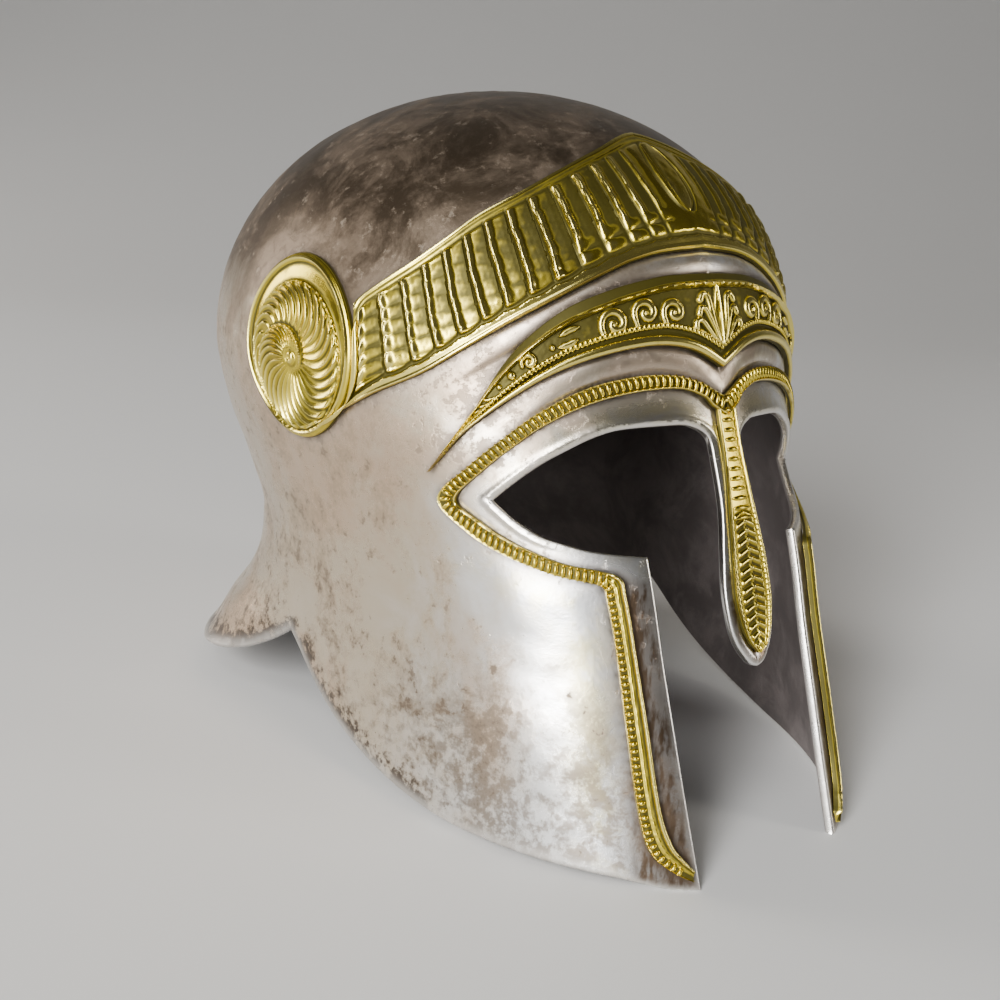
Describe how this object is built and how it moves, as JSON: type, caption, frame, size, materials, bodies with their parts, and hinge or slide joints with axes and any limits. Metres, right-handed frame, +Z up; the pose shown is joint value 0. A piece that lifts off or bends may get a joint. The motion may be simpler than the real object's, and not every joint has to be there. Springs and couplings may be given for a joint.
{
  "type": "greek helmet",
  "caption": "Silvered steel helmet of the Corinthian kind with long cheek guards, eye openings and nasal, and a gilt ram-horn band, temple spirals, brow plate and rope trim.",
  "frame": {"origin": "on the floor under the middle of the helmet's box, with the helmet standing on its two cheek tips and its neck guard", "axes": "-Y the way the wearer faces, +X the wearer's left, +Z up; the helmet leans back about 6 degrees from how it is worn"},
  "size_m": [0.1992, 0.2808, 0.2202],
  "materials": {
    "silvered_steel": "antiqued silver, softly polished, with brown-grey mottled tarnish over the dome and dark grey inside",
    "gilt_brass": "antiqued gilt relief, bright on the crests and dark olive-brown in the recesses"
  },
  "bodies": {
    "root": {"helmet_shell": "silvered_steel", "horn_band": "gilt_brass", "horn_spiral_right": "gilt_brass", "horn_spiral_left": "gilt_brass", "brow_plate": "gilt_brass", "eye_trim_right": "gilt_brass", "eye_trim_left": "gilt_brass", "nasal_strip": "gilt_brass"}
  },
  "joints": []
}
